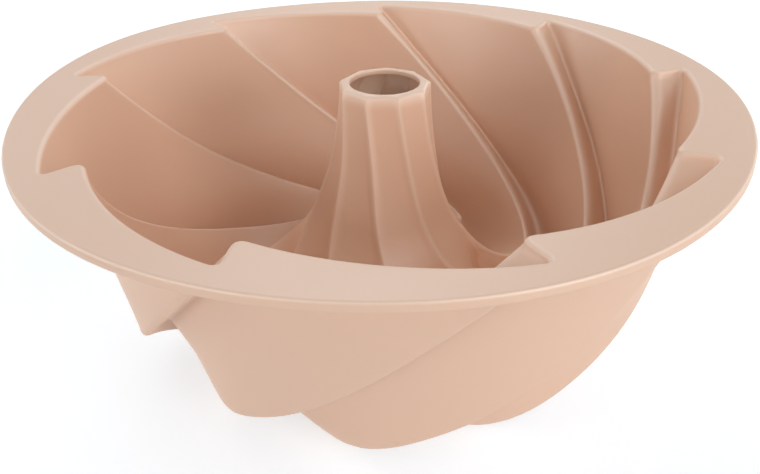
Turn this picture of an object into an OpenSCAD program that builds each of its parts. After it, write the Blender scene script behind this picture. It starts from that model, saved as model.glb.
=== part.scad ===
// Fluted tube pan moulded in one piece of silicone.
// Saw-toothed flutes swirl down the wall, under the floor and up the hollow centre tube.
// The pan stands on the low point of each flute, with its axis on Z and the table at z = 0.

/* [Rim] */
// Diameter of the mouth across the outer corners of the flutes
mouth_d = 241; // [200:1:300]
// Width of the rim where it is narrowest, outside the flutes' corners
rim_w = 9.5; // [5:0.5:20]
// Thickness of the rim
rim_t = 3.6; // [2.5:0.1:6]
// Height of the rim's top face above the table
rim_h = 104; // [85:1:130]
// Rounding of the rim's outer edges
rim_edge_r = 0.9; // [0.4:0.1:1.2]
// Rounding where the rim's top face turns down into the mould
mouth_edge_r = 2; // [0.8:0.1:2.5]

/* [Wall] */
// Thickness of the moulded wall, square to its surface
wall_t = 2; // [1.2:0.1:3]
// Diameter of the ring along which the ridges lie lowest
floor_d = 131; // [110:1:150]

/* [Flutes] */
// Number of flutes around the pan
flute_count = 9; // [7:1:11]
// Depth of a flute's step at the mouth
step_mouth = 14; // [8:0.5:18]
// Depth of a flute's step halfway down the wall
step_wall = 9.5; // [5:0.5:12]
// Depth of a flute's step across the floor
step_floor = 25.5; // [16:0.5:27]
// Height of a ridge's step at the top of the tube
step_tube = 0.8; // [0.4:0.1:1.5]
// How far a flute's groove tucks in behind its ridge at the mouth
step_lean_mouth = 2.4; // [0:0.1:3]
// How far a flute's groove tucks in behind its ridge further down the wall
step_lean_wall = 1.2; // [0:0.1:2.5]
// Dip of a flute's long face between its corners, halfway down the wall
face_scoop = 2; // [0:0.1:3]
// Angle that a flute turns through on its way down the wall
swirl_angle_wall = 73; // [50:1:90]
// Angle that a flute turns through on its way up the tube
swirl_angle_tube = 52; // [30:1:70]
// Rounding along the crest of each ridge
ridge_r = 3.6; // [1:0.1:5]
// Rounding in the corner of each groove on the wall
groove_r = 4.6; // [1.5:0.1:6]
// Rounding in the corner of each groove across the floor, where it makes the pan's feet
foot_r = 9; // [4:0.5:10]
// How much is flattened off each flute's low point, so that it stands on a small foot
foot_flat = 0.8; // [0.6:0.1:2]

/* [Tube] */
// Diameter over the tube's ridges at its top
tube_d = 34; // [29:0.5:44]
// Diameter of the hole in the tube's top
hole_d = 25.5; // [18:0.5:25.5]
// Height of the tube's top above the rim's top face
tube_rise = 4.5; // [1:0.5:15]
// Depth of the lip that turns in round the hole
lip_h = 1.6; // [1:0.1:5]
// Rounding of the tube's outer edge at its top
tube_edge_r = 2.2; // [0.8:0.1:2.2]
// Rounding of the hole's edge
hole_edge_r = 0.6; // [0.3:0.1:1]

/* [Hidden] */

pitch = 360 / flute_count;
// One ridge points straight back, along +Y
first_ridge = 90;
mouth_r = mouth_d / 2;
rim_r = mouth_r + rim_w;
tip_r = mouth_r - step_mouth;
floor_r = floor_d / 2;
tube_r = tube_d / 2;
hole_r = hole_d / 2;

// Shape of the profile between the named sizes: how far each curve runs on before it bends
wall_draft = 3.5;
wall_reach = 22.5;
floor_reach_out = 26;
floor_reach_in = 16.5;
flare_r = 1.2;
flare_h = 59.5;
// Share of the swirl spent at each handle of the two curves
swirl_share_start = 0.18;
swirl_share_mid = 0.48;
swirl_share_floor = 0.3;
swirl_share_flare = 0.55;
// Share of the profile over which the step settles below the mouth, deepens towards the floor
// and dies away up the tube
mouth_fade_share = 0.25;
floor_rise_share = 0.069;
tube_fade_share = 0.32;
// Share of the profile below the mouth over which the lean of the step settles
lean_fade_share = 0.08;

// Slope of the flute's long face across the floor, and the skin's thickness there, straight down
floor_turn = floor_r * swirl_angle_wall * (1 - swirl_share_mid) * PI / 180 / floor_reach_out;
floor_slope = step_floor / (2 * PI * floor_r / flute_count) * sqrt(1 + floor_turn * floor_turn);
floor_skin = wall_t * (sqrt(1 + floor_slope * floor_slope) + floor_slope);
// Places of the two points on a groove's rounding, between which the foot is flat
foot_heel = 0.45;
foot_toe = 0.83;
// What the rounding takes off the depth of a groove's corner
floor_corner = foot_r * (pow(1 - foot_heel, 2)
    + pow(foot_heel, 2) * step_floor / (2 * PI * floor_r / flute_count));
// Height of the ridges' lowest ring above the table
floor_h = step_floor - floor_corner + floor_skin - foot_flat;

// Control points of the ridge line, as radius, height and angle turned
wall_curve = [
    [tip_r, rim_h, 0],
    [tip_r - wall_draft, rim_h - wall_reach, swirl_angle_wall * swirl_share_start],
    [floor_r + floor_reach_out, floor_h, swirl_angle_wall * swirl_share_mid],
    [floor_r, floor_h, swirl_angle_wall]
];
tube_curve = [
    wall_curve[3],
    [floor_r - floor_reach_in, floor_h, swirl_angle_wall + swirl_angle_tube * swirl_share_floor],
    [tube_r + flare_r, rim_h + tube_rise - flare_h, swirl_angle_wall + swirl_angle_tube * swirl_share_flare],
    [tube_r, rim_h + tube_rise, swirl_angle_wall + swirl_angle_tube]
];

// Rows of the surface, as shares of the way from the mouth (0) over the floor (0.5) to the tube's top (1)
inner_rows = [
    0.009, 0.06, 0.12, 0.18, 0.24, 0.30, 0.35, 0.39, 0.43, 0.465,
    0.50, 0.535, 0.575, 0.62, 0.67, 0.73, 0.80, 0.87, 0.94, 0.986
];
outer_rows = [
    0.975, 0.93, 0.87, 0.80, 0.73, 0.67, 0.62, 0.575, 0.535, 0.512, 0.50,
    0.488, 0.465, 0.43, 0.39, 0.35, 0.30, 0.24, 0.18, 0.12, 0.07
];
// Points on the long face of a flute between its rounded ends, and on those two ends together
face_points = 5;
end_points = 7;
// Share of the pitch between neighbouring points of a circle, beside a flute's rounded ends
circle_step_share = 0.035;

function bezier(c, t) =
    pow(1 - t, 3) * c[0] + 3 * t * pow(1 - t, 2) * c[1] + 3 * t * t * (1 - t) * c[2] + pow(t, 3) * c[3];

// Point at t on a rounded corner that runs from a to c past b
function corner(a, b, c, t) = (1 - t) * (1 - t) * a + 2 * t * (1 - t) * b + t * t * c;

function ease(x) = let (c = min(1, max(0, x))) c * c * (3 - 2 * c);

// Ridge line at s: radius, height, angle turned
function ridge(s) = s < 0.5 ? bezier(wall_curve, 2 * s) : bezier(tube_curve, 2 * s - 1);

// Depth of the step between a ridge and the groove beside it, down the wall and up the tube
function wall_step(s) =
    step_wall
    + (step_mouth - step_wall) * pow(max(0, 1 - s / mouth_fade_share), 2)
    + (step_floor - step_wall) / (1 + pow((s - 0.5) / floor_rise_share, 2));

function tube_step(s) = step_floor + (step_tube - step_floor) * ease((s - 0.5) / tube_fade_share);

function step(s) = s < 0.5 ? wall_step(s) : tube_step(s);

// The tube's faces between its ridges are flat, which sets them back by this much from a circle
function set_back(s) = ridge(s)[0] * (1 - cos(pitch / 2)) * ease((s - 0.6) / 0.3);

// How far the groove tucks in behind the ridge: most at the mouth, and not at all on the floor
function lean(s) =
    (step_lean_wall + (step_lean_mouth - step_lean_wall) * (1 - ease(s / lean_fade_share)))
    * (1 - ease((s - 0.35) / 0.13));

// Dip of the long face: none at the mouth and on the floor
function scoop(s) = face_scoop * ease((s - 0.05) / 0.25) * (1 - ease((s - 0.3) / 0.2));

// Rounding in the corner of the groove
function corner_r(s) = groove_r + (foot_r - groove_r) * ease((s - 0.25) / 0.2);

// Distance behind the ridge line of the long face, at a share u of the pitch
function face_depth(s, u) = step(s) * (1 - u) + (set_back(s) - scoop(s)) * 4 * u * (1 - u);

// Direction of the profile at s, as change of radius, height and angle
function run(s) = let (e = 0.002) ridge(min(1, s + e)) - ridge(max(0, s - e));

// Direction out of the mould, square to the profile, as radius and height
function outward(s) = let (d = run(s), n = norm([d[0], d[1]])) [-d[1] / n, d[0] / n];

// How much further a flute runs than the profile, because it also turns
function lead(s) = let (d = run(s), turn = ridge(s)[0] * d[2] * PI / 180, n = norm([d[0], d[1]]))
    sqrt(1 + pow(turn / n, 2));

// Angle between the two faces of the wall at a flute's step
function skin_turn(s) = wall_t * lead(s) / ridge(s)[0] * 180 / PI;

// Distance between the two faces of the wall along the long face of a flute, square to the profile
function skin(s) = let (q = step(s) / (ridge(s)[0] * pitch * PI / 180) * lead(s))
    wall_t * (sqrt(1 + q * q) + q);

// Outline of one flute at s: share of the pitch and distance behind the ridge line
function flute(s) =
    let (
        d = step(s),
        len = ridge(s)[0] * pitch * PI / 180,
        back = lean(s) / len,
        foot = [-back, d * (1 + back)],
        tip_u = min(0.12, ridge_r / len),
        face_start = min(0.2, corner_r(s) / len) - back,
        tip_start = [-tip_u, face_depth(s, 1 - tip_u)],
        tip_end = foot * min(0.4, ridge_r / d),
        groove_start = foot * (1 - min(0.45, corner_r(s) / d)),
        groove_end = [face_start, face_depth(s, face_start)]
    )
    concat(
        [
            tip_start,
            corner(tip_start, [0, 0], tip_end, 0.5),
            tip_end,
            groove_start,
            corner(groove_start, foot, groove_end, foot_heel),
            corner(groove_start, foot, groove_end, foot_toe),
            groove_end
        ],
        [
            for (i = [1 : face_points])
                let (u = face_start + (1 - tip_u - face_start) * i / (face_points + 1))
                [u, face_depth(s, u)]
        ]
    );

// One closed row of points at s, set out from the inner surface by the skin when side is 1
function row(s, side) =
    let (
        c = ridge(s),
        n = outward(s),
        shape = flute(s),
        skin_out = side * skin(s),
        skin_angle = side * skin_turn(s)
    )
    [
        for (k = [0 : flute_count - 1], p = shape)
            let (
                r = c[0] + n[0] * (p[1] + skin_out),
                z = c[1] + n[1] * (p[1] + skin_out),
                a = first_ridge - c[2] - (k + p[0]) * pitch + skin_angle
            )
            [r * cos(a), r * sin(a), max(0, z)]
    ];

function flat_at(points, z) = [for (p = points) [p[0], p[1], z]];

// A row moved square to its own outline, away from the axis for a positive distance
function spread(points, distance) =
    let (n = len(points))
    [
        for (i = [0 : n - 1])
            let (
                along = points[(i + n - 1) % n] - points[(i + 1) % n],
                side = [along[1], -along[0]] / norm([along[0], along[1]])
            )
            [points[i][0] + side[0] * distance, points[i][1] + side[1] * distance, points[i][2]]
    ];

// A closed row on a circle, with a point for each point of a fluted row turned by the same angle.
// The points beside a step are spread over the side where the wall is solid.
function circle_row(r, z, turn) =
    [
        for (k = [0 : flute_count - 1], i = [1 - end_points : face_points])
            let (
                face_step = (1 - (end_points - 1) * circle_step_share) / (face_points + 1),
                a = first_ridge - turn - (k + i * (i < 0 ? circle_step_share : face_step)) * pitch
            )
            [r * cos(a), r * sin(a), z]
    ];

mouth_row = row(inner_rows[0], 0);
top_row = row(inner_rows[len(inner_rows) - 1], 0);
under_row = row(0.035, 1);
top_h = rim_h + tube_rise;
top_turn = swirl_angle_wall + swirl_angle_tube;
fillet = 1 - sqrt(0.5);

surface_rows = concat(
    [
        flat_at(spread(mouth_row, mouth_edge_r), rim_h),
        flat_at(spread(mouth_row, mouth_edge_r * fillet), rim_h - mouth_edge_r * fillet)
    ],
    [for (s = inner_rows) row(s, 0)],
    [
        flat_at(spread(top_row, -tube_edge_r * fillet), top_h - tube_edge_r * fillet),
        flat_at(spread(top_row, -tube_edge_r), top_h),
        circle_row(hole_r + hole_edge_r, top_h, top_turn),
        circle_row(hole_r, top_h - hole_edge_r, top_turn),
        circle_row(hole_r, top_h - lip_h, top_turn)
    ],
    [for (s = outer_rows) row(s, 1)],
    [
        flat_at(under_row, rim_h - rim_t),
        circle_row(rim_r - rim_edge_r, rim_h - rim_t, 0),
        circle_row(rim_r, rim_h - rim_t + rim_edge_r, 0),
        circle_row(rim_r, rim_h - rim_edge_r, 0),
        circle_row(rim_r - rim_edge_r * fillet, rim_h - rim_edge_r * fillet, 0),
        circle_row(rim_r - rim_edge_r, rim_h, 0)
    ]
);

// Closed skin through rows that loop round the wall's section and columns that loop round the axis
module skin_through(rows) {
    n = len(rows);
    m = len(rows[0]);
    polyhedron(
        points = [for (r = rows, p = r) p],
        faces = [
            for (i = [0 : n - 1], j = [0 : m - 1])
                let (
                    a = i * m + j,
                    b = i * m + (j + 1) % m,
                    c = (i + 1) % n * m + (j + 1) % m,
                    d = (i + 1) % n * m + j
                )
                each [[a, b, c], [a, c, d]]
        ],
        convexity = 12
    );
}

module pan() {
    color([0.86, 0.74, 0.66]) skin_through(surface_rows);
}

pan();
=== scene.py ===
"""The looks of the fluted tube pan: one moulded silicone skin on a pale floor, in soft studio light.

The skin follows the same kind of curves as the solid pan, with finer rows, rounder edges and steps that
differ a little, and it has the slight waviness that a limp rim takes on. Lengths are in millimetres
until the mesh is made, and the floor, lamps and camera are in metres.
"""

from math import cos, pi, radians, sin

import bpy
import numpy as np
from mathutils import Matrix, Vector


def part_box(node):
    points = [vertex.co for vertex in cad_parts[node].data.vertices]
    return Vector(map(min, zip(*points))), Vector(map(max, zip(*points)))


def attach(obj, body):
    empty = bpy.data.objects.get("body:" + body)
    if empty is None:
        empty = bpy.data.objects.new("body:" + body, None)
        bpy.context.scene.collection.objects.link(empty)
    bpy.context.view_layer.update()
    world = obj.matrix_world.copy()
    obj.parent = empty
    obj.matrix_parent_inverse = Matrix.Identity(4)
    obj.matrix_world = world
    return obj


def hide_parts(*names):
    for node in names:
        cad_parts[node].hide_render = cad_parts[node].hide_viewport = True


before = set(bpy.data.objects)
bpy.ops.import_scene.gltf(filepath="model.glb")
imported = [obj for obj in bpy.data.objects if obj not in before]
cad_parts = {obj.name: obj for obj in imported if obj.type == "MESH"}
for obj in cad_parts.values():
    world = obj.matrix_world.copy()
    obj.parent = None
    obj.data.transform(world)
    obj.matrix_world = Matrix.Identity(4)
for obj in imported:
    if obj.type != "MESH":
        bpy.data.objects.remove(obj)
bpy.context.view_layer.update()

MM = 0.001

# Driving sizes of the pan, in millimetres
pan_low, pan_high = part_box("pan")
top_h = pan_high.z / MM
rim_r = (pan_high.x - pan_low.x) / 2 / MM
rim_w = 9.5
rim_t = 3.6
tube_rise = 4.5
rim_edge_r = 0.9
mouth_edge_r = 1.6
wall_t = 2.0
floor_r = 65.5

# The step between a ridge and the groove beside it
step_mouth = 14.0
step_wall = 8.1
step_floor = 27.2
step_tube = 0.8

# How far the groove tucks in behind the ridge: inside and at the mouth, and outside
tuck_inner = 2.4
tuck_outer = 1.0

# How far the long faces bow into the mould low on the wall, and how far the inner ridges stand in
face_bow = 2.3
ridge_lift = 0.7

# Rounding of the ridges at the mouth, inside, outside and on the tube, and of the grooves
ridge_mouth_r = 4.4
ridge_inner_r = 4.5
ridge_outer_r = 2.7
ridge_tube_r = 2.2
groove_inner_r = 2.2
groove_outer_r = 4.6

# The feet: their rounding, how much of it the table flattens, where along it they are taken to be
# lowest, and how many times further it runs along the long face than on the step
foot_r = 10.7
foot_flat = 1.9
foot_lowest = 0.45
foot_toe = 1.4

# The tube's top and the lip round its hole
tube_r = 17.0
hole_r = 12.75
lip_h = 2.0
lip_edge_r = 0.4
tube_edge_r = 2.2
hole_edge_r = 0.6

# The edge under the rim, where its bend lies, and how far the flat faces start from the rounded edges
under_edge_r = 0.5
under_edge_bend = 0.3
mouth_edge_gap = 0.2
rim_edge_gap = 0.4

# The ridges on the tube are low rounded beads, drawn out to some widths either side
bead_h = 0.7
bead_w_top = 1.3
bead_w_foot = 1.9
bead_reach = 2.2

# Painted light in the silicone's colour: painted highlights along the ridges, but less so outside and on
# the tube, and at the rounded edges, and painted light inside the tube's top where light comes through
# its thin wall. Widths are in millimetres, and strengths are shares. The depth limit caps the step's
# depth at so many times the way across
painted_highlight_w = 2.6
painted_highlight_w_top = 1.2
painted_highlight_w_outside_share = 0.4
painted_highlight_depth_most = 99
painted_highlight_outside = 0.6
painted_highlight_tube = 0.5
painted_light_through = 0.7
painted_highlight_mouth_edge = 0.45
painted_highlight_tube_edge = 0.6
painted_highlight_rim_edge = 0.75

# Flutes: how many, where the first one points, and how far each turns down the wall and up the tube
flute_count = 9
first_ridge = 90.0
swirl_wall = 73.0
swirl_tube = 52.0
pitch = 360 / flute_count

# Sizes that follow from the ones above
rim_h = top_h - tube_rise
mouth_r = rim_r - rim_w
tip_r = mouth_r - step_mouth

# How far each curve of the profile runs on before it bends
wall_draft = 3.5
wall_reach = 22.5
floor_reach_out = 26.0
floor_reach_in = 16.5
flare_r = 1.2
flare_h = 59.5

# Shares of the swirl spent at the curves' handles, and of the profile over which the step changes
swirl_share_start = 0.18
swirl_share_mid = 0.48
swirl_share_floor = 0.3
swirl_share_flare = 0.55
mouth_fade_share = 0.18
floor_rise_share = 0.087

# Where along the profile, from the mouth (0) over the floor (0.5) to the tube's top (1), each change
# starts, and over how much of it the change goes on
ridge_round_span = (0, 0.1)
ridge_lift_span = (0.02, 0.1)
ridge_narrow_span = (0.48, 0.1)
tuck_fade_span = (0, 0.08)
tuck_end_span = (0.35, 0.13)
tilt_span = (0, 0.12)
bow_span = (0.15, 0.25)
bow_end_span = (0.45, 0.12)
foot_span = (0.3, 0.18)
foot_end_span = (0.52, 0.1)
step_fade_span = (0.5, 0.32)
set_back_span = (0.6, 0.3)
bead_span = (0.68, 0.14)
bead_narrow_span = (0.76, 0.24)
# Where the painted highlights narrow and fade, and where the painted light inside the tube's top sets in
painted_highlight_narrow_span = (0.5, 0.5)
painted_highlight_fade_span = (0.6, 0.2)
painted_light_through_span = (0.85, 0.1)

# The profile's share that the inner and outer rows cover, and where the wall meets the rim's underside
inner_rows_from = 0.014
inner_rows_to = 0.986
outer_rows_from = 0.975
outer_rows_to = 0.05
under_rim_s = 0.035

# The most of a flute's width and of its step that a rounding takes up, and how much of it the tube's
# grooves lose
ridge_width_most = 0.12
ridge_step_most = 0.4
groove_width_most = 0.45
groove_step_most = 0.45
groove_tube_loss = 0.75

# Height of the ridge line on the floor, which puts the flats of the feet on the table
floor_pitch = 2 * pi * floor_r / flute_count
floor_turn = floor_r * radians(swirl_wall * (1 - swirl_share_mid)) / floor_reach_out
floor_slope = step_floor / floor_pitch * np.hypot(1, floor_turn)
floor_skin = wall_t * (np.hypot(1, floor_slope) + floor_slope)
floor_corner = foot_r * ((1 - foot_lowest) ** 2 + foot_lowest**2 * step_floor / floor_pitch)
floor_h = step_floor - floor_corner + floor_skin - foot_flat

# Control points of the ridge line, as radius, height and angle turned
wall_curve = np.array([
    [tip_r, rim_h, 0],
    [tip_r - wall_draft, rim_h - wall_reach, swirl_wall * swirl_share_start],
    [floor_r + floor_reach_out, floor_h, swirl_wall * swirl_share_mid],
    [floor_r, floor_h, swirl_wall],
])
tube_curve = np.array([
    wall_curve[3],
    [floor_r - floor_reach_in, floor_h, swirl_wall + swirl_tube * swirl_share_floor],
    [tube_r + flare_r, top_h - flare_h, swirl_wall + swirl_tube * swirl_share_flare],
    [tube_r, top_h, swirl_wall + swirl_tube],
])

# How finely the skin is divided: rows along the profile, and points along one flute
inner_row_count = 112
outer_row_count = 96
fillet_rows = 6
tip_points = 9
step_points = 3
groove_points = 9
face_points = 21


def bezier(c, t):
    return (1 - t) ** 3 * c[0] + 3 * t * (1 - t) ** 2 * c[1] + 3 * t * t * (1 - t) * c[2] + t**3 * c[3]


def corner_curve(a, b, c, count):
    """Points of a corner that runs from a to c past b, as round as a circle where it turns square."""
    t = np.linspace(0, 1, count)[:, None]
    pull = 2 * t * (1 - t) * cos(pi / 4)
    return ((1 - t) ** 2 * a + pull * b + t**2 * c) / ((1 - t) ** 2 + pull + t**2)


def ease(x):
    """A smooth rise from 0 to 1 while x goes from 0 to 1."""
    x = np.clip(x, 0, 1)
    return x * x * (3 - 2 * x)


def risen(s, span):
    """0 before a span of the profile, 1 after it, and a smooth rise between."""
    return ease((s - span[0]) / span[1])


def ridge(s):
    """Radius, height and turn of the ridge line at s: mouth 0, floor 0.5, tube's top 1."""
    return bezier(wall_curve, 2 * s) if s < 0.5 else bezier(tube_curve, 2 * s - 1)


def step(s):
    """Depth of the step between a ridge and the groove beside it."""
    if s < 0.5:
        at_mouth = (step_mouth - step_wall) * max(0.0, 1 - s / mouth_fade_share) ** 2
        at_floor = (step_floor - step_wall) / (1 + ((s - 0.5) / floor_rise_share) ** 2)
        return step_wall + at_mouth + at_floor
    return step_floor + (step_tube - step_floor) * risen(s, step_fade_span)


def set_back(s):
    """How far the flat faces between the tube's ridges lie behind a circle."""
    return ridge(s)[0] * (1 - cos(radians(pitch / 2))) * risen(s, set_back_span)


def tuck(s, side):
    """How far the groove tucks in behind the ridge: less outside, and not at all on the floor."""
    more = (tuck_inner - tuck_outer) * (1 - risen(s, tuck_fade_span) * side)
    return (tuck_outer + more) * (1 - risen(s, tuck_end_span))


def ridge_r(s, side):
    """Rounding along the ridge: on the wall broader inside than outside, and on the tube narrower."""
    inner = ridge_inner_r + (ridge_tube_r - ridge_inner_r) * risen(s, ridge_narrow_span)
    below = ridge_outer_r if side else inner
    return ridge_mouth_r + (below - ridge_mouth_r) * risen(s, ridge_round_span)


def groove_r(s, side):
    """Rounding in the corner of the groove, largest on the floor and smaller again up the tube."""
    small = groove_outer_r if side else groove_inner_r
    narrower = 1 - groove_tube_loss * risen(s, foot_end_span)
    return small + (foot_r - small) * risen(s, foot_span) * narrower


def face_depth(s, u):
    """Distance behind the ridge line of the long face, which bows into the mould low on the wall."""
    bow = face_bow * risen(s, bow_span) * (1 - risen(s, bow_end_span))
    return step(s) * (1 - u) + (set_back(s) - bow) * 4 * u * (1 - u)


def profile_frame(s):
    """Direction out of the mould as radius and height, and a flute's length against the profile's."""
    nudge = 0.002
    d = ridge(min(1.0, s + nudge)) - ridge(max(0.0, s - nudge))
    n = np.hypot(d[0], d[1])
    return np.array([-d[1], d[0]]) / n, np.hypot(1, ridge(s)[0] * radians(d[2]) / n)


def tube_flute(s):
    """Outline of one face of the tube with the bead on its ridge, in the same form as flute()."""
    length = ridge(s)[0] * radians(pitch)
    width = bead_w_top + (bead_w_foot - bead_w_top) * (1 - risen(s, bead_narrow_span))
    reach = bead_reach * width / length
    near = np.linspace(-reach, reach, tip_points + step_points + groove_points)
    far = np.linspace(reach, 1 - reach, face_points + 2)[1:-1]
    u = np.concatenate([near, far])
    away = np.abs(np.where(u > 0.5, 1 - u, u))
    height = bead_h * width / bead_w_foot
    d = height * (1 - np.exp(-((away * length / width) ** 2))) + set_back(s) * 4 * away * (1 - away)
    return np.stack([u, d], axis=1)


def flute(s, side):
    """Outline of one flute at s: share of the pitch, and distance behind the ridge line."""
    d = step(s)
    length = ridge(s)[0] * radians(pitch)
    back = tuck(s, side) / length
    foot = np.array([-back, d * (1 + back)])
    tip_round = ridge_r(s, side)
    foot_round = groove_r(s, side)
    toe = 1 + (foot_toe - 1) * risen(s, foot_span)
    tip_u = min(ridge_width_most, tip_round / length)
    face_start = min(groove_width_most, toe * foot_round / length) - back
    tip_start = np.array([-tip_u, face_depth(s, 1 - tip_u)])
    groove_end = np.array([face_start, face_depth(s, face_start)])
    crest = np.array([0, -ridge_lift * risen(s, ridge_lift_span) * (1 - side)])
    tip = corner_curve(tip_start, crest, foot * min(ridge_step_most, tip_round / d), tip_points)
    heel = foot * (1 - min(groove_step_most, foot_round / d))
    groove = corner_curve(heel, foot, groove_end, groove_points)
    t = np.linspace(0, 1, step_points + 2)[1:-1, None]
    between = (1 - t) * tip[-1] + t * groove[0]
    u = np.linspace(face_start, 1 - tip_u, face_points + 2)[1:-1]
    face = np.stack([u, face_depth(s, u)], axis=1)
    beaded = risen(s, bead_span)
    return (1 - beaded) * np.concatenate([tip, between, groove, face]) + beaded * tube_flute(s)


def ring(r, z, a, painted_light_amount=0.0):
    """A closed row of points as x, y, height and the share of painted light in the colour."""
    a = np.radians(a)
    return np.stack([r * np.cos(a), r * np.sin(a), z + 0 * a, painted_light_amount + 0 * a], axis=1)


def painted_light_along_flute(s, side, shape):
    """How much painted highlight each point of a flute's outline gets, by its distance from the nearest
    ridge's line, and on the outer side also the painted light inside the tube's top.
    """
    across = np.minimum(np.abs(shape[:, 0]), 1 - shape[:, 0]) * ridge(s)[0] * radians(pitch)
    down = np.minimum(shape[:, 1], across * painted_highlight_depth_most)
    off = np.where(shape[:, 0] > 0.5, across, np.hypot(across, down))
    reach = painted_highlight_w + (painted_highlight_w_top - painted_highlight_w) * risen(s, painted_highlight_narrow_span)
    if side:
        reach *= painted_highlight_w_outside_share
    crest = np.exp(-((off / reach) ** 2)) * (1 - (1 - painted_highlight_tube) * risen(s, painted_highlight_fade_span))
    return np.maximum(painted_highlight_outside * crest, painted_light_through * risen(s, painted_light_through_span)) if side else crest


def row(s, side):
    """One closed row of points at s: inside when side is 0, and outside, further by the wall, when 1.

    Rows lie level at the mouth, and square to the profile below it.
    """
    c = ridge(s)
    out, lead = profile_frame(s)
    shape = flute(s, side)
    slope = step(s) / (c[0] * radians(pitch)) * lead
    skin = side * wall_t * (np.hypot(1, slope) + slope)
    skin_turn = side * np.degrees(wall_t * lead / c[0])
    u = around(shape[:, 0])
    d = np.tile(shape[:, 1], flute_count) + skin
    z = np.maximum(0, c[1] + out[1] * risen(s, tilt_span) * d)
    angle = first_ridge - c[2] - u * pitch + skin_turn
    return ring(c[0] + out[0] * d, z, angle, np.tile(painted_light_along_flute(s, side, shape), flute_count))


def around(u):
    """Places around the pan, in flutes, from the places of one flute's points."""
    return np.concatenate([k + u for k in range(flute_count)])


def rim_row(r, z, painted_light_amount=0.0):
    """A closed row on a circle in the rim, whose points lie beside those of the fluted mouth."""
    near = 0.16
    beside = np.linspace(-near, 0, tip_points + step_points + groove_points)
    face = np.linspace(0, 1 - near, face_points + 2)[1:-1]
    return ring(r, z, first_ridge - around(np.concatenate([beside, face])) * pitch, painted_light_amount)


def hole_row(r, z):
    """A closed row on a circle in the tube's hole, whose points lie beside those of the tube's faces."""
    return ring(r, z, first_ridge - swirl_wall - swirl_tube - around(tube_flute(1)[:, 0]) * pitch)


def flat_at(points, z, painted_light_amount=0.0):
    """A row as it is seen from above, laid flat at one height."""
    return np.column_stack([points[:, :2], np.full(len(points), z), np.full(len(points), painted_light_amount)])


def spread(points, distance):
    """A row moved square to its own outline, away from the axis for a positive distance."""
    edge = (np.roll(points, 1, axis=0) - points)[:, :2]
    edge /= np.linalg.norm(edge, axis=1)[:, None]
    along = edge + np.roll(edge, -1, axis=0)
    side = np.stack([along[:, 1], -along[:, 0]], axis=1)
    side /= np.linalg.norm(side, axis=1)[:, None]
    return np.column_stack([points[:, :2] + side * distance, points[:, 2:]])


def surface_rows():
    """Rows of the skin: the mouth's edge, down the mould, up the tube, back under it, round the rim."""
    turns = np.linspace(0, pi / 2, fillet_rows)
    mouth = row(inner_rows_from, 0)
    tube_top = row(inner_rows_to, 0)
    under = row(under_rim_s, 1)
    rows = [flat_at(spread(mouth, mouth_edge_r + mouth_edge_gap), rim_h)]
    # Painted highlight along the mouth's rounded edge, strongest halfway round it
    for t in turns[:-1]:
        edge = spread(mouth, mouth_edge_r * (1 - sin(t)))
        rows.append(flat_at(edge, rim_h - mouth_edge_r * (1 - cos(t)), painted_highlight_mouth_edge * sin(2 * t)))
    rows += [row(s, 0) for s in np.linspace(inner_rows_from, inner_rows_to, inner_row_count)]
    hole_edge = hole_row(hole_r + hole_edge_r, top_h)
    inset = tube_edge_r / (np.linalg.norm(tube_top[:, :2], axis=1).mean() - hole_r - hole_edge_r)
    # Painted highlight along the rounded edge of the tube's top, strongest halfway round it
    for t in turns[1:]:
        share = inset * (1 - cos(t))
        edge = (1 - share) * tube_top + share * hole_edge
        rows.append(flat_at(edge, top_h - tube_edge_r * (1 - sin(t)), painted_highlight_tube_edge * sin(2 * t)))
    for t in turns:
        rows.append(hole_row(hole_r + hole_edge_r * (1 - sin(t)), top_h - hole_edge_r * (1 - cos(t))))
    lip_low = top_h - lip_h
    for t in turns:
        rows.append(hole_row(hole_r + lip_edge_r * (1 - cos(t)), lip_low + lip_edge_r * (1 - sin(t))))
    rows += [row(s, 1) for s in np.linspace(outer_rows_from, outer_rows_to, outer_row_count)]
    under_h = rim_h - rim_t
    bend = under_edge_bend * under_edge_r
    rows.append(flat_at(under, under_h - under_edge_r))
    rows.append(flat_at(spread(under, bend), under_h - bend))
    rows.append(flat_at(spread(under, under_edge_r), under_h))
    rows.append(rim_row(rim_r - rim_edge_r - rim_edge_gap, under_h))
    for t in turns:
        rows.append(rim_row(rim_r - rim_edge_r * (1 - sin(t)), under_h + rim_edge_r * (1 - cos(t))))
    # Painted highlight along the rim's rounded top edge, strongest halfway round it
    for t in turns:
        painted_light_amount = painted_highlight_rim_edge * sin(2 * t) ** 3
        rows.append(rim_row(rim_r - rim_edge_r * (1 - cos(t)), rim_h - rim_edge_r * (1 - sin(t)), painted_light_amount))
    rows.append(rim_row(rim_r - rim_edge_r - rim_edge_gap, rim_h))
    return np.array(rows)


# The limp rim isn't quite flat or round: waves as count around the pan, height, and place in degrees
rim_lift_waves = [(2, 1.20, -28), (3, 0.37, 20), (4, 0.43, -13)]
rim_spread_waves = [(2, 1.46, 77), (3, 0.97, 47), (4, 0.39, 42)]

# The waves fade down the wall, and from the rim towards the tube, over these shares of the rim's radius
wave_fade_down = 0.35
wave_fade_in_end = 0.3
wave_fade_in = 0.4

# The soft tube leans a little to the right above its foot. All within lean_with_r of the axis leans as
# far, and the lean fades to nothing at twice that
lean = 1.55
lean_from_h = 50
lean_over_h = 35
lean_with_r = 2 * tube_r


def waviness(waves, a):
    """Sum of the waves at the angles a."""
    return sum(h * np.cos(n * (a - radians(at))) for n, h, at in waves)


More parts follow.
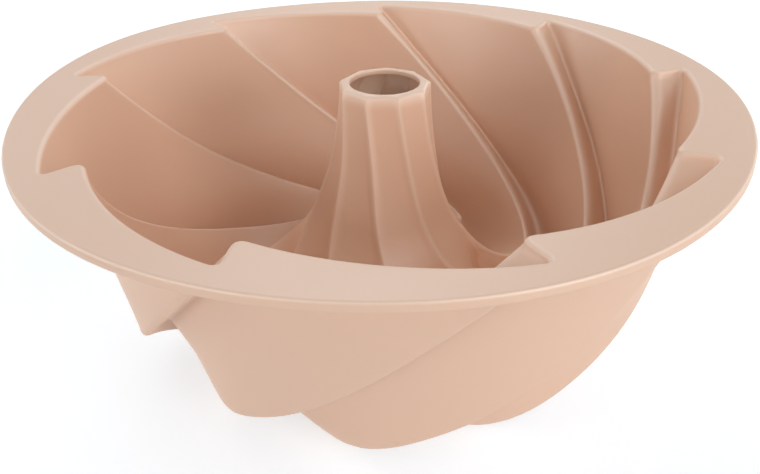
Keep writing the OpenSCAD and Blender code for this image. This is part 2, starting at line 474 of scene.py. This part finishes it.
def relaxed(points):
    """The pan's skin with its rim's waviness and its tube's lean."""
    x, y, z = points[..., 0], points[..., 1], points[..., 2]
    r = np.hypot(x, y)
    a = np.arctan2(y, x)
    share = np.clip(1 + (z - rim_h) / (wave_fade_down * rim_r), 0, 1)
    share = share * np.clip((r / rim_r - wave_fade_in_end) / wave_fade_in, 0, 1)
    lift = waviness(rim_lift_waves, a) * share
    out = waviness(rim_spread_waves, a) * share * r / rim_r
    aside = lean * ease((z - lean_from_h) / lean_over_h) * np.clip(2 - r / lean_with_r, 0, 1)
    return np.stack([x + out * np.cos(a) + aside, y + out * np.sin(a), z + lift], axis=-1)


def skin_object(name, points, painted_light_amount):
    """A closed mesh of rows round the axis that loop round the wall's section, with faces outwards."""
    n, m = points.shape[:2]
    i, j = np.meshgrid(np.arange(n), np.arange(m), indexing="ij")
    corners = [(i, j), ((i + 1) % n, j), ((i + 1) % n, (j + 1) % m), (i, (j + 1) % m)]
    faces = np.stack([a * m + b for a, b in corners], axis=-1).reshape(-1, 4)
    mesh = bpy.data.meshes.new(name)
    mesh.from_pydata((points.reshape(-1, 3) * MM).tolist(), [], faces.tolist())
    # The share of painted highlight and painted light in the silicone's colour at each point
    mesh.attributes.new("painted_light_amount", "FLOAT", "POINT").data.foreach_set("value", painted_light_amount.ravel())
    mesh.polygons.foreach_set("use_smooth", np.ones(len(faces), bool))
    mesh.update()
    piece = bpy.data.objects.new(name, mesh)
    bpy.context.scene.collection.objects.link(piece)
    return piece


def node_tree(holder):
    holder.use_nodes = True
    holder.node_tree.nodes.clear()
    return holder.node_tree


def add_node(tree, kind, **values):
    """A node with its sockets set by name."""
    made = tree.nodes.new(kind)
    for name, value in values.items():
        made.inputs[name.replace("_", " ")].default_value = value
    return made


# The silicone's two colours that drift into each other, and the pale colour of the painted highlights on
# its ridges and edges and of the painted light inside the tube's top
peach = (0.788, 0.512, 0.355, 1)
light_peach = (0.808, 0.522, 0.365, 1)
painted_light_peach = (0.93, 0.72, 0.58, 1)


def silicone():
    """Peach silicone with a soft uneven gloss and a very fine grain, with painted highlights on its
    ridges and edges and painted light inside the tube's top.
    """
    material = bpy.data.materials.new("moulded_silicone")
    tree = node_tree(material)
    link = tree.links.new
    out = add_node(tree, "ShaderNodeOutputMaterial")
    body = add_node(tree, "ShaderNodeBsdfPrincipled", IOR=1.7)
    body.inputs["Specular IOR Level"].default_value = 1.0
    place = add_node(tree, "ShaderNodeTexCoord")
    cloud = add_node(tree, "ShaderNodeTexNoise", Scale=18.0, Detail=3.0)
    grain = add_node(tree, "ShaderNodeTexNoise", Scale=900.0, Detail=2.0)
    tint = add_node(tree, "ShaderNodeMix")
    tint.data_type = "RGBA"
    tint.inputs["A"].default_value = peach
    tint.inputs["B"].default_value = light_peach
    # Painted light: the pale colour mixed in by the mesh's share of painted highlight and painted light
    painted_light_mix = add_node(tree, "ShaderNodeMix")
    painted_light_mix.data_type = "RGBA"
    painted_light_mix.inputs["B"].default_value = painted_light_peach
    painted_light_mask = tree.nodes.new("ShaderNodeAttribute")
    painted_light_mask.attribute_name = "painted_light_amount"
    rough = add_node(tree, "ShaderNodeMapRange")
    rough.inputs["To Min"].default_value = 0.46
    rough.inputs["To Max"].default_value = 0.56
    bump = add_node(tree, "ShaderNodeBump", Strength=0.08, Distance=0.0003)
    link(place.outputs["Object"], cloud.inputs["Vector"])
    link(place.outputs["Object"], grain.inputs["Vector"])
    link(cloud.outputs["Fac"], tint.inputs["Factor"])
    link(painted_light_mask.outputs["Fac"], painted_light_mix.inputs["Factor"])
    link(tint.outputs["Result"], painted_light_mix.inputs["A"])
    link(painted_light_mix.outputs["Result"], body.inputs["Base Color"])
    link(cloud.outputs["Fac"], rough.inputs["Value"])
    link(rough.outputs["Result"], body.inputs["Roughness"])
    link(grain.outputs["Fac"], bump.inputs["Height"])
    link(bump.outputs["Normal"], body.inputs["Normal"])
    link(body.outputs["BSDF"], out.inputs["Surface"])
    return material


def seen_directly(tree):
    """1 for what is seen straight, in a reflection or through glass, and 0 for the light on the pan."""
    path = add_node(tree, "ShaderNodeLightPath")
    either = tree.nodes.new("ShaderNodeMath")
    either.operation = "MAXIMUM"
    any_of_three = tree.nodes.new("ShaderNodeMath")
    any_of_three.operation = "MAXIMUM"
    tree.links.new(path.outputs["Is Camera Ray"], either.inputs[0])
    tree.links.new(path.outputs["Is Glossy Ray"], either.inputs[1])
    tree.links.new(either.outputs[0], any_of_three.inputs[0])
    tree.links.new(path.outputs["Is Transmission Ray"], any_of_three.inputs[1])
    return any_of_three.outputs[0]


def make_world():
    """White backdrop where it is seen, and next to no light from it on the pan, which the lamps light."""
    world = bpy.data.worlds.new("studio")
    bpy.context.scene.world = world
    tree = node_tree(world)
    out = add_node(tree, "ShaderNodeOutputWorld")
    fill = add_node(tree, "ShaderNodeBackground", Color=(1, 1, 1, 1), Strength=0.001)
    white = add_node(tree, "ShaderNodeBackground", Color=(1, 1, 1, 1), Strength=1.0)
    mix = add_node(tree, "ShaderNodeMixShader")
    tree.links.new(seen_directly(tree), mix.inputs[0])
    tree.links.new(fill.outputs[0], mix.inputs[1])
    tree.links.new(white.outputs[0], mix.inputs[2])
    tree.links.new(mix.outputs[0], out.inputs["Surface"])


# Width of the floor, and how far it lies below the flat feet, in metres
floor_w = 6
floor_gap = 0.0002


def make_floor():
    """A pale floor that keeps the pan's shadow and blends into the white backdrop.

    It throws near-white light on the pan. Where it is seen, its glow makes it white, and its slightly
    blue colour evens out the warm light that the pan throws on it.
    """
    bpy.ops.mesh.primitive_plane_add(size=floor_w, location=(0, 0, -floor_gap))
    floor = bpy.context.object
    floor.name = "floor"
    material = bpy.data.materials.new("pale_floor")
    tree = node_tree(material)
    link = tree.links.new
    out = add_node(tree, "ShaderNodeOutputMaterial")
    bounce = add_node(tree, "ShaderNodeBsdfDiffuse", Color=(0.95, 0.95, 0.95, 1))
    body = add_node(tree, "ShaderNodeBsdfPrincipled", Roughness=0.3)
    body.inputs["Base Color"].default_value = (0.5, 0.59, 0.67, 1)
    body.inputs["Specular IOR Level"].default_value = 0.3
    glow = add_node(tree, "ShaderNodeEmission", Color=(1, 1, 1, 1), Strength=0.63)
    shown = add_node(tree, "ShaderNodeAddShader")
    mix = add_node(tree, "ShaderNodeMixShader")
    link(body.outputs[0], shown.inputs[0])
    link(glow.outputs[0], shown.inputs[1])
    link(seen_directly(tree), mix.inputs[0])
    link(bounce.outputs[0], mix.inputs[1])
    link(shown.outputs[0], mix.inputs[2])
    link(mix.outputs[0], out.inputs["Surface"])
    floor.data.materials.append(material)


# The middle of the pan, and how far the lamps stand from it, in metres
pan_middle = Vector((0, 0, 0.06))
lamp_distance = 1.5

# Soft lamps all round the pan, mostly low: name, azimuth, elevation, size in metres, power in watts
lamps = [
    ("front_left", 315, 12, 0.7, 5.8),
    ("front_right", 45, 12, 0.7, 8.2),
    ("front_right_high", 45, 45, 0.8, 5.4),
    ("left", 270, 12, 0.7, 4.6),
    ("right", 90, 12, 0.7, 2.4),
    ("back_left", 225, 12, 0.7, 1.5),
    ("back_left_high", 225, 45, 0.8, 2.0),
    ("back_right", 135, 12, 0.7, 2.8),
    ("back_high", 180, 45, 0.8, 5.9),
]


def add_lamp(name, azimuth, elevation, size, power):
    """A square soft lamp that points at the pan. Azimuth 0 is in front of it and 90 at its right."""
    a, e = radians(azimuth), radians(elevation)
    place = pan_middle + lamp_distance * Vector((sin(a) * cos(e), -cos(a) * cos(e), sin(e)))
    data = bpy.data.lights.new(name, "AREA")
    data.shape = "SQUARE"
    data.size = size
    data.energy = power
    lamp = bpy.data.objects.new(name, data)
    bpy.context.scene.collection.objects.link(lamp)
    lamp.location = place
    lamp.rotation_euler = (pan_middle - place).to_track_quat("-Z", "Y").to_euler()
    lamp.visible_camera = False


def make_camera():
    """The camera, with the place, turn and lens that were fitted to the photograph."""
    data = bpy.data.cameras.new("camera")
    data.sensor_width = 36
    data.lens = 39.18
    camera = bpy.data.objects.new("camera", data)
    bpy.context.scene.collection.objects.link(camera)
    camera.location = (0, -0.28575, 0.21341)
    camera.rotation_euler = (radians(59.191), radians(0.703), radians(-0.235))
    bpy.context.scene.camera = camera


rows = surface_rows()
# The rows' fourth column is the share of painted light in the colour
pan = skin_object("pan_skin", relaxed(rows), rows[..., 3])
pan.data.materials.append(silicone())
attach(pan, "root")
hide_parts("pan")

make_floor()
make_world()
for name, azimuth, elevation, size, power in lamps:
    add_lamp(name, azimuth, elevation, size, power)
make_camera()
bpy.context.scene.view_settings.view_transform = "Standard"
